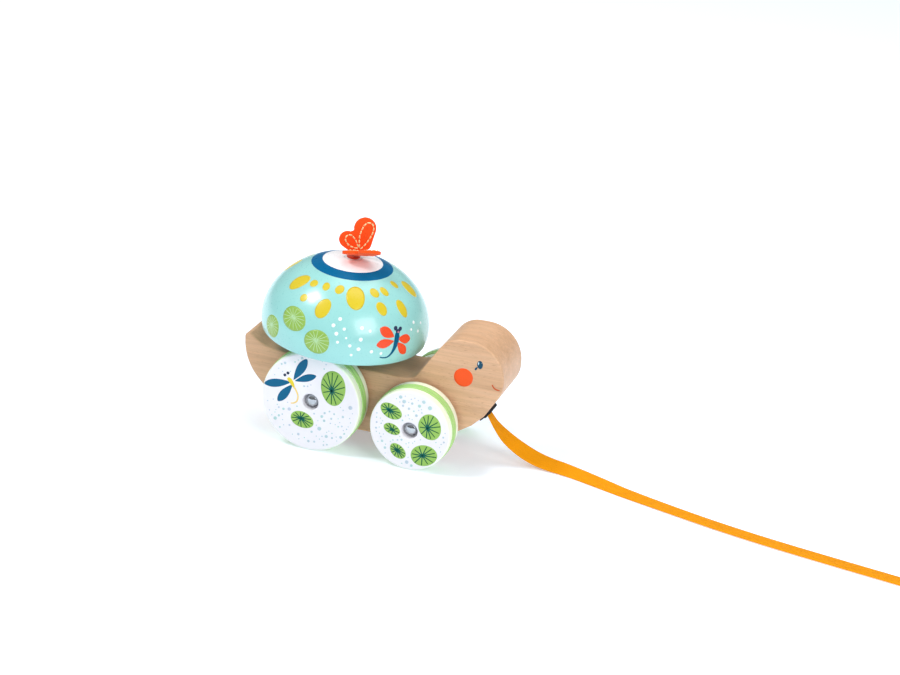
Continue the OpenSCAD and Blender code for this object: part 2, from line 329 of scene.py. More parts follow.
def lily_pad(leaf, lines, surface, half_w, half_h, tilt, middle, rays, seed, width):
    """A round leaf with veins that run out from a middle of its own."""
    spot(leaf, surface, 0, 0, half_w, half_h, tilt, 0.025, 56, seed)
    c, s = math.cos(math.radians(tilt)), math.sin(math.radians(tilt))
    jitter = random.Random(seed)
    hub, steps = Vector(middle), 8
    for k in range(rays):
        a = 2 * math.pi * (k + 0.25 * jitter.random()) / rays
        reach = 0.84 + 0.14 * jitter.random()
        x, y = half_w * math.cos(a) * reach, half_h * math.sin(a) * reach
        ray = Vector((x * c - y * s, x * s + y * c)) - hub
        side = Vector((-ray.y, ray.x)).normalized()
        stations = []
        for i in range(steps + 1):
            share = i / steps
            half = width * (1.0 - 0.25 * share) / 2 + (0.16 * width if i == 0 else 0)
            stations.append((hub + ray * share, side, half, share))
        brush(lines, stations, surface, 2)
    spot(lines, surface, *middle, width * 1.35, width * 1.35, 0, 0.08, 20, seed, 2)


# ---------------------------------------------------------------- materials

class Look:
    """A node material round one Principled BSDF, with short calls for the nodes it is made of."""

    def __init__(self, name, **sockets):
        self.material = bpy.data.materials.new(name)
        self.material.use_nodes = True
        self.tree = self.material.node_tree
        self.shader = self.tree.nodes["Principled BSDF"]
        for socket, value in sockets.items():
            self.feed(self.shader.inputs[socket.replace("_", " ")], value)

    def node(self, kind, **settings):
        made = self.tree.nodes.new(kind)
        for key, value in settings.items():
            setattr(made, key, value)
        return made

    def feed(self, socket, value):
        if isinstance(value, bpy.types.NodeSocket):
            self.tree.links.new(value, socket)
        elif isinstance(value, tuple) and socket.type == "RGBA":
            socket.default_value = (*value, 1)
        else:
            socket.default_value = value

    def feed_all(self, made, **inputs):
        for key, value in inputs.items():
            self.feed(made.inputs[key.replace("_", " ")], value)
        return made

    def place(self, scale, turn=(0, 0, 0)):
        """Coordinates of the row frame, stretched; a scale of 1000 makes one unit a millimetre."""
        coords = self.node("ShaderNodeTexCoord")
        made = self.feed_all(self.node("ShaderNodeMapping"), Vector=coords.outputs["Object"], Rotation=turn,
                             Scale=scale if isinstance(scale, tuple) else (scale,) * 3)
        return made.outputs["Vector"]

    def noise(self, vector, detail=3.0, rough=0.5, bend=0.0):
        made = self.feed_all(self.node("ShaderNodeTexNoise"), Vector=vector, Scale=1.0, Detail=detail,
                             Roughness=rough, Distortion=bend)
        return made.outputs["Fac"]

    def ramp(self, fac, *stops):
        """Maps a number to greys or colours; each stop is (place, grey or colour)."""
        made = self.feed_all(self.node("ShaderNodeValToRGB"), Fac=fac)
        band = made.color_ramp
        while len(band.elements) < len(stops):
            band.elements.new(0.5)
        for element, (place, value) in zip(band.elements, stops):
            element.position = place
            element.color = (*value, 1) if isinstance(value, tuple) else (value, value, value, 1)
        return made.outputs["Color"]

    def mix(self, fac, a, b, blend="MIX"):
        made = self.node("ShaderNodeMix", data_type="RGBA", blend_type=blend)
        for index, value in ((0, fac), (6, a), (7, b)):
            self.feed(made.inputs[index], value)
        return made.outputs[2]

    def times(self, a, b):
        """Two colours multiplied."""
        return self.mix(1.0, a, b, "MULTIPLY")

    def maths(self, operation, a, b=0.0):
        made = self.node("ShaderNodeMath", operation=operation)
        self.feed(made.inputs[0], a)
        self.feed(made.inputs[1], b)
        return made.outputs[0]

    def mark(self, name="mark"):
        return self.node("ShaderNodeAttribute", attribute_name=name).outputs["Fac"]

    def colour(self, value):
        self.feed(self.shader.inputs["Base Color"], value)

    def rough(self, fac, low, high):
        self.feed(self.shader.inputs["Roughness"], self.ramp(fac, (0.3, low), (0.7, high)))

    def bump(self, *layers):
        """Stacks bumps; each layer is (height, depth in mm)."""
        normal = None
        for height, depth in layers:
            made = self.feed_all(self.node("ShaderNodeBump"), Strength=1.0, Distance=depth * MM, Height=height)
            if normal:
                self.feed(made.inputs["Normal"], normal)
            normal = made.outputs["Normal"]
        self.feed(self.shader.inputs["Normal"], normal)


def beech(name="beech", pale=(0.74, 0.46, 0.275), dark=(0.60, 0.345, 0.185)):
    """Steamed beech, oiled: growth bands and fibres along X, and short dark rays."""
    look = Look(name, Coat_Weight=0.12, Coat_Roughness=0.4)
    bands = look.noise(look.place((7, 70, 110), (0, 0.06, 0)), 4, 0.55, 0.6)
    fibres = look.noise(look.place((34, 620, 820), (0, 0.04, 0)), 5, 0.62)
    rays = look.noise(look.place((330, 1500, 2100)), 1.5)
    pores = look.noise(look.place((900, 5200, 5200)), 2)
    middle = tuple((a + b) / 2 for a, b in zip(pale, dark))
    wood = look.ramp(bands, (0.32, dark), (0.5, middle), (0.68, pale))
    wood = look.times(wood, look.ramp(fibres, (0.3, 0.84), (0.7, 1.05)))
    wood = look.mix(look.ramp(rays, (0.64, 0.0), (0.72, 0.5)), wood, (0.40, 0.20, 0.10))
    look.colour(look.mix(look.ramp(pores, (0.66, 0.0), (0.76, 0.3)), wood, (0.35, 0.18, 0.10)))
    look.rough(fibres, 0.40, 0.54)
    look.bump((fibres, 0.05), (rays, 0.04), (pores, 0.02))
    return look.material


def lacquer(name, colour, second=None, rough=(0.26, 0.34), coat=0.5, shine=0.5, drift=0.05):
    """Sprayed or printed paint on turned wood; second is the colour where the mark is 1."""
    look = Look(name, Coat_Weight=coat, Coat_Roughness=0.16, Specular_IOR_Level=shine)
    cloud = look.noise(look.place(60))
    skin = look.noise(look.place(900), rough=0.6)
    fibres = look.noise(look.place((110, 800, 900)), 4, 0.6)
    paint = look.mix(look.mark(), colour, second) if second else colour
    look.colour(look.times(paint, look.ramp(cloud, (0.3, 1 - drift), (0.7, 1.0))))
    look.rough(skin, *rough)
    look.bump((skin, 0.012), (fibres, 0.012))
    return look.material


def wheel_paint():
    """White satin paint, with a yellow-green band round the tread: a painted reflection of the green rubber
    ring on the wheel's rounded edges.
    """
    look = Look("wheel_paint", Coat_Weight=0.25, Coat_Roughness=0.3)
    cloud = look.noise(look.place(70))
    skin = look.noise(look.place(1100), rough=0.6)
    fibres = look.noise(look.place((500, 120, 900)), 4, 0.6)
    # where the rim mark is 1 the white turns yellow-green, a painted reflection of the green ring
    edge = look.maths("MULTIPLY", look.mark("rim"), look.ramp(cloud, (0.3, 0.85), (0.7, 1.0)))
    white = look.ramp(cloud, (0.3, (0.80, 0.79, 0.82)), (0.7, (0.84, 0.82, 0.85)))
    look.colour(look.mix(edge, white, (0.88, 0.95, 0.74)))
    look.rough(skin, 0.36, 0.46)
    look.bump((skin, 0.012), (fibres, 0.02))
    return look.material


def moulded(name, patch, stops, grain, rough, depth, **sockets):
    """Rubber, nylon or enamel: soft patches of colour under a fine grain; patch and grain feed noise."""
    look = Look(name, **sockets)
    look.colour(look.ramp(look.noise(look.place(patch[0]), *patch[1:]), *stops))
    grit = look.noise(look.place(grain), rough=0.6)
    look.rough(grit, *rough)
    look.bump((grit, depth))
    return look.material


def rubber():
    return moulded("green_rubber", (120, 4), ((0.3, (0.36, 0.62, 0.19)), (0.7, (0.44, 0.70, 0.25))), 2600,
                   (0.52, 0.66), 0.03, Specular_IOR_Level=0.35)


def nylon():
    return moulded("nylon", (200,), ((0.3, (0.80, 0.79, 0.72)), (0.7, (0.86, 0.85, 0.79))), 2200,
                   (0.38, 0.5), 0.01, Subsurface_Weight=0.15, Subsurface_Scale=0.002)


def black_enamel():
    return moulded("black_enamel", (400, 4, 0.65), ((0.4, (0.010, 0.010, 0.013)), (0.75, (0.03, 0.03, 0.034))),
                   1500, (0.45, 0.6), 0.02, Specular_IOR_Level=0.2)


def metal(name, colour, rough=(0.18, 0.32), turned=False):
    """Bare metal with rubbing marks and a few scratches."""
    look = Look(name, Metallic=1.0)
    smear = look.noise(look.place(260), 4, 0.6)
    lines = look.noise(look.place((3500, 260, 3500) if turned else (900, 900, 4200)), 4, 0.6)
    look.colour(look.ramp(smear, (0.3, tuple(0.8 * c for c in colour)), (0.7, colour)))
    look.rough(lines, *rough)
    look.bump((lines, 0.006), (smear, 0.01))
    return look.material


def felt(colour):
    """Pressed wool: tangled fibres in several reds under a soft sheen."""
    look = Look("felt", Roughness=0.95, Specular_IOR_Level=0.1, Sheen_Weight=0.25, Sheen_Roughness=0.5,
                Sheen_Tint=(1.0, 0.55, 0.35))
    tangle = look.noise(look.place(2100), 5, 0.7, 2.5)
    tufts = look.noise(look.place(520), 4, 0.65, 1.0)
    wisps = look.noise(look.place((5200, 1300, 2600), (0.4, 0.7, 0.2)), 3, 0.6, 3.0)
    light = tuple(min(1, 1.15 * c + 0.02) for c in colour)
    dark = tuple(0.72 * c for c in colour)
    wool = look.ramp(tangle, (0.3, dark), (0.5, colour), (0.7, light))
    look.colour(look.mix(look.ramp(wisps, (0.62, 0.0), (0.78, 0.35)), wool, (0.98, 0.32, 0.12)))
    look.bump((tufts, 0.12), (tangle, 0.09))
    return look.material


def thread(name, colour):
    """Twisted cotton: fine slanted plies."""
    look = Look(name, Roughness=0.8, Specular_IOR_Level=0.2, Sheen_Weight=0.3)
    ply = look.noise(look.place((4200, 4200, 2600), (0.6, 0.5, 0.8)), 3, 0.6, 1.0)
    look.colour(look.ramp(ply, (0.3, tuple(0.72 * c for c in colour)), (0.65, colour)))
    look.bump((ply, 0.06))
    return look.material


def webbing():
    """Woven tape from its along and across marks, in mm: ribs over the width and fine warp ends."""
    look = Look("webbing", Specular_IOR_Level=0.1, Sheen_Weight=0.04, Sheen_Roughness=0.4)
    along, across = look.mark("along"), look.mark("across")

    def wave(value):
        """Sine of a number of mm, one turn to the mm."""
        return look.maths("SINE", look.maths("MULTIPLY", value, 2 * math.pi))

    shift = look.maths("MULTIPLY", look.maths("ROUND", look.maths("MULTIPLY", across, 2.0)), 0.5)
    picks = wave(look.maths("ADD", along, shift))
    ends = look.maths("ABSOLUTE", wave(across))
    weave = look.maths("MULTIPLY", look.maths("ADD", look.maths("MULTIPLY", picks, 0.5), 0.5), ends)
    fuzz = look.noise(look.place(2600), 4, 0.65, 1.0)
    cloud = look.noise(look.place(70))
    base = look.ramp(weave, (0.0, (0.92, 0.30, 0.0)), (0.5, (1.0, 0.39, 0.0)), (1.0, (1.0, 0.46, 0.003)))
    base = look.times(base, look.ramp(cloud, (0.3, 0.93), (0.7, 1.0)))
    look.colour(look.times(base, look.ramp(fuzz, (0.3, 0.88), (0.7, 1.04))))
    look.rough(fuzz, 0.62, 0.8)
    look.bump((weave, 0.10), (wave(along), 0.02), (fuzz, 0.03))
    return look.material


# ---------------------------------------------------------------- camera and stage

def make_camera():
    """A long lens above and before the toy's right side, with the picture's slight tilt."""
    azimuth, elevation, roll = math.radians(16.65), math.radians(21.4), math.radians(4.1)
    target = Vector((52.6, -38.5, 87.2)) * MM
    distance = 1.2486
    back = Vector((math.sin(azimuth) * math.cos(elevation), -math.cos(azimuth) * math.cos(elevation),
                   math.sin(elevation)))
    right = Vector((math.cos(azimuth), math.sin(azimuth), 0))
    up = back.cross(right)
    tilted_right = right * math.cos(roll) + up * math.sin(roll)
    tilted_up = up * math.cos(roll) - right * math.sin(roll)
    camera = link(bpy.data.objects.new("camera", bpy.data.cameras.new("camera")))
    camera.data.lens = 88
    camera.data.sensor_width = 36
    camera.data.clip_start = 0.01
    camera.data.clip_end = 50
    turn = Matrix((tilted_right, tilted_up, back)).transposed().to_4x4()
    camera.matrix_world = Matrix.Translation(target + back * distance) @ turn
    bpy.context.scene.camera = camera


def add_light(name, place, size, watts):
    light = link(bpy.data.objects.new(name, bpy.data.lights.new(name, "AREA")))
    light.data.shape = "RECTANGLE"
    light.data.size = light.data.size_y = size
    light.data.energy = watts
    light.location = place
    aim = Vector((0, 0, 0.05))
    light.rotation_euler = (aim - Vector(place)).to_track_quat("-Z", "Y").to_euler()


def make_floor():
    """White paper with a painted glow, weaker near the toy and stronger further away, so the backdrop stays
    white and the floor round the toy keeps a painted shade.
    """
    half = 6
    floor = new_object("floor", [(-half, -half, 0), (half, -half, 0), (half, half, 0), (-half, half, 0)],
                       [(0, 1, 2, 3)])
    # the glow's blue tint paints the shade on the floor cooler
    paper = Look("paper", Base_Color=(0.76, 0.81, 0.88), Roughness=0.9, Specular_IOR_Level=0.1,
                 Emission_Color=(0.84, 0.92, 1))
    away = paper.feed_all(paper.node("ShaderNodeVectorMath", operation="LENGTH"), Vector=paper.place(1))
    # the glow falls off towards the toy, which paints shade under and round it
    glow = paper.feed_all(paper.node("ShaderNodeMapRange"), Value=away.outputs["Value"], From_Min=0.08,
                          From_Max=0.35, To_Min=0.30, To_Max=0.55)
    paper.feed(paper.shader.inputs["Emission Strength"], glow.outputs["Result"])
    floor.data.materials.append(paper.material)


def make_world():
    """A soft pale room, darker below the horizon."""
    world = bpy.data.worlds.new("studio")
    world.use_nodes = True
    nodes, links = world.node_tree.nodes, world.node_tree.links
    sky = nodes["Background"]
    sky.inputs["Strength"].default_value = 0.42
    coords = nodes.new("ShaderNodeTexCoord")
    split = nodes.new("ShaderNodeSeparateXYZ")
    band = nodes.new("ShaderNodeValToRGB")
    below, above = band.color_ramp.elements
    below.color = (0.35, 0.35, 0.37, 1)
    above.position = 0.55
    links.new(coords.outputs["Generated"], split.inputs["Vector"])
    links.new(split.outputs["Z"], band.inputs["Fac"])
    links.new(band.outputs["Color"], sky.inputs["Color"])
    bpy.context.scene.world = world


def make_stage():
    make_floor()
    make_world()
    add_light("key", (-0.84, -0.44, 1.4), 0.42, 13)
    add_light("fill", (1.13, -0.92, 0.85), 0.8, 13)
    add_light("top", (0.1, 0.35, 1.3), 0.9, 6)
    bpy.context.scene.view_settings.view_transform = "Standard"


# ---------------------------------------------------------------- strap

STRAP_W = 10.0
STRAP_T = 1.0
STRAP_STEP = 0.25  # distance between the rings the webbing is made of
LIE = 0.05 + STRAP_T / 2  # height of the webbing's middle line where it lies on the floor
EDGE_UP = LIE + 0.3  # the same where one edge is just off the floor
ROUTE = [(69.3, 0, 27.5), (72.2, 0, 23.4), (75.2, 0, 20), (78.3, 0, 17), (81.5, 0, 14.4),
         (85.5, 0, 11.7), (89.8, 0, 9.3), (94.6, 0, 7), (100.4, 0, 4.9), (108, -0.1, 3.2), (116, -0.8, 2.4),
         (126, -3.2, 1.9), (140, -7.9, 1.45), (156, -13.5, 0.95), (173, -19.1, EDGE_UP), (190, -24.6, EDGE_UP),
         (208, -30.2, EDGE_UP), (226, -35.2, EDGE_UP), (242, -39.2, EDGE_UP), (258, -42.8, EDGE_UP),
         (276, -46.5, EDGE_UP), (294, -50.1, EDGE_UP), (312, -53.6, EDGE_UP), (330, -57.2, EDGE_UP),
         (348, -60.8, EDGE_UP), (366, -64.4, LIE + 0.1), (384, -68, LIE)]
# Roll of the webbing about its own line, degrees, at the route's points
ROLL = (0, 2, 6, 13, 20, 26, 30, 31, 30, 25, 21, 15, 10, 4, 0, -2) + 9 * (-3,) + (-1, 0)
GATHER = (6.8, 8, 9.3, STRAP_W)  # width at the same points, where it comes out of the slot at the chin
COIL_MIDDLE = (396, -9)
COIL_FROM = (60.0, -101.5)  # radius and direction, degrees, where the one loose turn begins
COIL_TO = (48.0, 227.0)
COIL_STEPS = 42
DOUBLED = 22.0  # length of the sewn end, where a second layer lies on the first
CHIN = Matrix.Translation((0.06685, 0, 0.02995)) @ Matrix.Rotation(math.radians(135), 4, "Y")


def strap_points():
    points = [Vector(p) for p in ROUTE]
    for share in np.linspace(0, 1, COIL_STEPS + 1)[1:]:
        r = COIL_FROM[0] + (COIL_TO[0] - COIL_FROM[0]) * share
        a = math.radians(COIL_FROM[1] + (COIL_TO[1] - COIL_FROM[1]) * share)
        points.append(Vector((COIL_MIDDLE[0] + r * math.cos(a), COIL_MIDDLE[1] + r * math.sin(a), LIE)))
    return points


def even_line(points, step):
    """Smooth curve through points, cut into even steps, and where each step is, counted in points."""
    stations = [i / 12 for i in range(12 * (len(points) - 1) + 1)]
    fine = [curve_at(points, s) for s in stations]
    runs = distances(fine)
    wanted = np.linspace(0, runs[-1], round(runs[-1] / step) + 1)
    columns = [np.interp(wanted, runs, [p[k] for p in fine]) for k in range(3)]
    return [Vector(p) for p in zip(*columns)], np.interp(wanted, runs, stations)


def tape_section(width, thick):
    """Half-rounded flat section, as (across, up) points."""
    edge = thick / 2
    side = width / 2 - edge
    flat = [-side] + [side * k / 4 for k in range(-3, 4)] + [side]
    right = [(side + edge * math.cos(a), edge * math.sin(a)) for a in np.radians((-60, -30, 0, 30, 60))]
    left = [(-x, -y) for x, y in right]
    return [(x, -edge) for x in flat] + right + [(x, edge) for x in flat[::-1]] + left


def sweep_tape(name, line, sides, widths, thick, look, node, rib=0.04):
    """Webbing swept along a line in mm; sides and widths give its way across and its width at each ring."""
    points, along, across = [], [], []
    for i, (mid, run) in enumerate(zip(line, distances(line))):
        up = heading(line, i).cross(sides[i]).normalized()
        swell = 1 + rib * math.sin(2 * math.pi * run)
        for x, y in tape_section(widths[i], thick):
            points.append((mid + sides[i] * x + up * y * swell) * MM)
            along.append(run)
            across.append(x)
    obj = new_object(name, points, tunnel(len(line), len(points) // len(line)))
    keep_numbers(obj.data, "along", along)
    keep_numbers(obj.data, "across", across)
    face_outwards(obj)
    return dress(obj, "board", look, node)


def make_strap(cloth):
    """The webbing from the chin to its coil, and the second layer of its sewn end."""
    line, stations = even_line(strap_points(), STRAP_STEP)
    sides = []
    for i, station in enumerate(stations):
        ahead = heading(line, i)
        flat = UP.cross(ahead).normalized()
        roll = math.radians(float(np.interp(station, range(len(ROLL)), ROLL)))
        sides.append(flat * math.cos(roll) + ahead.cross(flat) * math.sin(roll))
    widths = [float(np.interp(station, range(len(GATHER)), GATHER)) for station in stations]
    strap = sweep_tape("strap_webbing", line, sides, widths, STRAP_T, cloth, ("strap", "strap_coil"))

    back = range(len(line) - 1 - int(DOUBLED / STRAP_STEP), len(line))
    lift = STRAP_T + 0.02
    ahead = (line[-1] - line[-2]).normalized()
    bend = [line[-1] + ahead * (lift / 2 * math.sin(a)) + UP * (lift / 2 * (1 - math.cos(a)))
            for a in np.linspace(math.pi - 0.3, 0.3, 8)]
    end_line = [line[i] + UP * lift for i in back] + bend
    end_sides = [sides[i] for i in back] + [sides[-1]] * len(bend)
    end_widths = [STRAP_W - 0.1] * len(end_line)
    end = sweep_tape("strap_sewn_end", end_line, end_sides, end_widths, STRAP_T - 0.05, cloth, ("strap_end",))
    return strap, end, line


def stitch_row(pile, start, end, count, radius, normal, bury=0.25):
    """A row of stitches from start to end, each a small hump of thread over the cloth; mm."""
    step = (end - start) / count
    for i in range(count):
        a = start + step * (i + 0.08)
        b = start + step * (i + 0.80)
        line = [(a.lerp(b, t) + normal * (math.sin(math.pi * t) * (radius * 1.1 + bury) - bury)) * MM
                for t in np.linspace(0, 1, 7)]
        tube(pile, line, radius * MM, 6, normal)


def make_end_seams(line, look):
    """Two rows of stitches across the doubled end, and a line of them down each side."""
    pile = Pile()
    first, last, half_w, runs = 2.5, 19.5, 4, 4

    def on(back_mm, across):
        i = len(line) - 1 - round(back_mm / STRAP_STEP)
        return line[i] + UP.cross(heading(line, i)) * across + UP * (1.5 * STRAP_T + 0.05)

    for back in (first, last):
        stitch_row(pile, on(back, -half_w), on(back, half_w), 6, 0.16, UP)
    step = (last - first) / runs
    for side in (-half_w, half_w):
        for k in range(runs):
            stitch_row(pile, on(first + step * k, side), on(first + step * (k + 1), side), 3, 0.16, UP)
    return pile.build("strap_end_stitches", "board", look, "thread")


def make_chin(cloth):
    """The webbing's folded end behind the slotted bar; the chin's frame has Z out of its slanted facet."""
    fold = [(0, 3.5), (0, 2.4), (0, 1.2), (0, 0), (0, -1), (-0.05, -1.7), (-0.3, -2.15), (-0.62, -2.28),
            (-0.95, -2.15), (-1.2, -1.7), (-1.25, -1.2), (-1.25, -0.8)]
    line, _ = even_line([CHIN @ (Vector((x, 0, z)) * MM) / MM for x, z in fold], 0.2)
    n = len(line)
    sides, widths = [Vector((0, 1, 0))] * n, [GATHER[0]] * n
    return sweep_tape("strap_folded_end", line, sides, widths, STRAP_T - 0.04, cloth, ("strap_loop",))


# ---------------------------------------------------------------- board

BOARD_HALF = 19.0
EDGE = 1.1  # rounding of the board's edges


def cad_outline(node, y):
    """Outer outline of a CAD board's flat side, as (x, z) points in order."""
    mesh = frame["nodes"][node].data
    edges = {}
    for polygon in mesh.polygons:
        corners = [mesh.vertices[i].co for i in polygon.vertices]
        if all(abs(c.y - y) < 1e-6 for c in corners):
            keys = [(round(c.x, 6), round(c.z, 6)) for c in corners]
            for a, b in zip(keys, keys[1:] + keys[:1]):
                if edges.pop((b, a), None) is None:
                    edges[(a, b)] = True
    follow = dict(edges.keys())
    best = []
    while follow:
        start = next(iter(follow))
        loop, here = [start], follow.pop(start)
        while here != start:
            loop.append(here)
            here = follow.pop(here)
        if max(p[0] for p in loop) - min(p[0] for p in loop) > 0.1:
            best = loop
    return best


def cutter(make, matrix):
    shape = bmesh.new()
    make(shape)
    bmesh.ops.transform(shape, matrix=matrix, verts=shape.verts)
    bmesh.ops.recalc_face_normals(shape, faces=shape.faces)
    return object_from("cutter", shape)


def rod(radius, low, high, matrix, segments=96):
    """Cutter: a round rod along its own Z from low to high; mm."""
    def make(shape):
        bmesh.ops.create_cone(shape, cap_ends=True, segments=segments, radius1=radius * MM,
                              radius2=radius * MM, depth=(high - low) * MM)
        bmesh.ops.translate(shape, verts=shape.verts, vec=(0, 0, (low + high) / 2 * MM))
    return cutter(make, matrix)


def subtract(obj, cutters):
    for tool in cutters:
        made = obj.modifiers.new("cut", "BOOLEAN")
        made.operation = "DIFFERENCE"
        made.solver = "EXACT"
        made.object = tool
    settle(obj)
    for tool in cutters:
        bpy.data.objects.remove(tool)


def make_board(wood):
    """The sawn board, cut for its axles, its pedestal and screw, and the strap's folded end."""
    outline = cad_outline("board", BOARD_HALF * MM)
    points = [(x, y * MM, z) for y in (-BOARD_HALF, BOARD_HALF) for x, z in outline]
    board = new_object("board_beech", points, tunnel(2, len(outline)))
    face_outwards(board)
    round_edges(board, EDGE, 6, 60)
    settle(board)
    tools = []
    for node in ("rear_axle", "front_axle"):
        low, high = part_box(node)
        hub = Matrix.Translation(((low.x + high.x) / 2, 0, (low.z + high.z) / 2))
        tools.append(rod(2.55, -30, 30, hub @ Matrix.Rotation(math.pi / 2, 4, "X")))
    tools.append(rod(14.2, -12.8, 4, TO_DOME))
    tools.append(rod(2.05, -25, -5, TO_DOME, 48))

    def pocket(shape):
        bmesh.ops.create_cube(shape, size=MM)
        bmesh.ops.scale(shape, verts=shape.verts, vec=(4.2, 8, 10))
        bmesh.ops.translate(shape, verts=shape.verts, vec=(0, 0, 1.6 * MM))

    tools.append(cutter(pocket, CHIN))
    for side in SIDES.values():
        tools.append(rod(0.85, -7, 4, CHIN @ Matrix.Translation((0, side * 6 * MM, 0)), 32))
    subtract(board, tools)
    sharpen(board, 38)
    smooth(board.data)
    weights = board.modifiers.new("weights", "WEIGHTED_NORMAL")
    weights.keep_sharp = True
    weights.weight = 80
    dress(board, "board", wood, ("board",))


def side_face(side):
    """Maps (u, v) in mm to a point on the board's flat side; u runs to the head."""
    def surface(u, v):
        return Vector((u, side * BOARD_HALF, v)) * MM, Vector((0, side, 0))
    return surface


def make_faces():
    """Cheek, eye and smile on both sides of the head."""
    looks = {
        "cheeks": lacquer("cheek_orange", (0.87, 0.092, 0.013), rough=(0.4, 0.5), coat=0, shine=0.2),
        "eyes": lacquer("eye_blue", (0.004, 0.065, 0.12), rough=(0.35, 0.45), coat=0.1, shine=0.2),
        "glints": lacquer("glint_pale", (0.62, 0.84, 0.92), rough=(0.35, 0.45), coat=0.2),
        "smiles": lacquer("smile_red", (0.56, 0.10, 0.03), rough=(0.4, 0.5), coat=0, shine=0.2),
    }
    piles = {key: Pile() for key in looks}
    for side in SIDES.values():
        surface = side_face(side)
        spot(piles["cheeks"], surface, 56.6, 56.1, 5.8, 5.7, 0, 0.006, 64)
        spot(piles["eyes"], surface, 66.0, 65.7, 1.75, 2.5, 8, 0.02)
        stroke(piles["eyes"], [(64.6, 64.0), (63.8, 63.0), (63.3, 62.0)], (0.5, 1.3, 0.9), surface)
        stroke(piles["glints"], [(65.0, 67.2), (65.1, 66.4), (65.0, 65.6)], (0.4, 0.8, 0.4), surface, 2)
        spot(piles["glints"], surface, 66.9, 66.9, 0.4, 0.45, rings=2)
        stroke(piles["smiles"], [(74.1, 54.9), (74.9, 53.6), (76.2, 52.5), (77.7, 52.1), (79.0, 52.1)],
               (0.6, 0.95, 1.0, 0.9, 0.5), surface)
    for key, pile in piles.items():
        pile.build("face_" + key, "board", looks[key])


# ---------------------------------------------------------------- dome

DOME_R = 50.0
DOME_H = 48.5
BULGE = 7.5  # height of the widest ring
BASE_IN = 1.6  # how much narrower the foot is
BASE_EDGE = 1.6
RECESS_R = 5.0  # the screw's recess in the top, closed by the plug
SCREW_HOLE_R = 2.08
shell_joint = next(j for j in frame["joints"] if j["name"] == "shell_spin")
DOME_AXIS = Vector(shell_joint["axis"]).normalized()
TO_DOME = (Matrix.Translation(Vector(shell_joint["pos_m"]))
           @ Matrix.Rotation(math.atan2(DOME_AXIS.x, DOME_AXIS.z), 4, "Y"))


def on_dome(x, y, w):
    """A point in mm in the dome's own frame, moved into the row frame."""
    return TO_DOME @ (Vector((x, y, w)) * MM)


def dome_radius(w):
    if w < BULGE:
        return DOME_R - BASE_IN * ((BULGE - w) / BULGE) ** 2
    return DOME_R * math.sqrt(max(0, 1 - ((w - BULGE) / (DOME_H - BULGE)) ** 2))


def dome_height(r):
    return BULGE + (DOME_H - BULGE) * math.sqrt(max(0, 1 - (r / DOME_R) ** 2))


def dome_patch(azimuth, height):
    """Flat mm round a spot on the dome: u to the right seen from outside, v up."""
    def surface(u, v):
        w = height
        steps = max(1, int(abs(v) / 0.7))
        for _ in range(steps):
            w += v / steps / math.hypot(1, slope(dome_radius, w))
        angle = math.radians(azimuth) + u / dome_radius(w)
        c, s = math.cos(angle), math.sin(angle)
        normal = (TO_DOME.to_3x3() @ Vector((c, s, slope(dome_radius, w)))).normalized()
        return on_dome(dome_radius(w) * c, dome_radius(w) * s, w), normal
    return surface


def make_dome(paint):
    foot = dome_radius(BASE_EDGE)
    profile = [(SCREW_HOLE_R, 0), (12, 0), (30, 0)]
    profile += arc(foot - BASE_EDGE, BASE_EDGE, BASE_EDGE, -90, 0, 8)
    profile += [(dome_radius(w), w) for w in np.linspace(BASE_EDGE, BULGE, 8)[1:]]
    top = math.acos((RECESS_R + 0.3) / DOME_R)
    profile += [(DOME_R * math.cos(a), BULGE + (DOME_H - BULGE) * math.sin(a))
                for a in np.linspace(0, top, 48)[1:]]
    rim = dome_height(RECESS_R)
    profile += [(RECESS_R + 0.08, rim - 0.06), (RECESS_R, rim - 0.3), (RECESS_R, 43), (RECESS_R, 40.2),
                (RECESS_R - 0.2, 40), (2.3, 40), (SCREW_HOLE_R, 39.8)]
    dress(lathe("dome_shell", profile, 256, on_dome, 40), "shell", paint, ("shell",))


def dome_band(name, r_in, r_out, lift, steps, look):
    """A printed ring round the dome's top between two radii, lift films thick."""
    def skin(r, proud):
        w = dome_height(r)
        out = Vector((slope(dome_height, r, 0.01), 1)).normalized()
        return r + out.x * proud, w + out.y * proud
    proud = FILM / MM * lift
    upper = [skin(r, proud) for r in np.linspace(r_in + 0.06, r_out - 0.06, steps)]
    lower = [skin(r, -0.05) for r in np.linspace(r_out, r_in, steps)]
    profile = upper + [skin(r_out, 0.3 * proud)] + lower + [skin(r_in, 0.3 * proud)]
    dress(lathe(name, profile, 256, on_dome), "shell", look)


# Printed spots on the side of the dome that faces -Y: azimuth in degrees, height, half width, half height, tilt
PETALS = [(-128, 36.4, 4.6, 7.1, -30), (-111.7, 38.7, 2.7, 2.5, -30), (-97, 39.2, 2.2, 3.0, 12),
          (-82, 39.3, 2.6, 3.3, -8), (-65, 36.8, 5.4, 7.9, 0), (-44.6, 38.9, 2.7, 3.3, 25),
          (-32.6, 39.0, 2.3, 3.4, 20), (-12.5, 40.4, 2.1, 3.0, 15), (5.7, 36, 4.2, 6.4, 14),
          (-111, 31.6, 2.5, 2.4, 0), (-91, 29.8, 4.3, 6.3, -14), (-42, 32.1, 3.2, 4.3, 14),
          (-21.7, 30.6, 3.2, 5.8, 6)]
PADS = [(-129.5, 9.6, 7.2, 6.6, 8), (-110.8, 20.2, 9.0, 6.6, -10), (-89.5, 11.9, 7.9, 6.9, -10)]
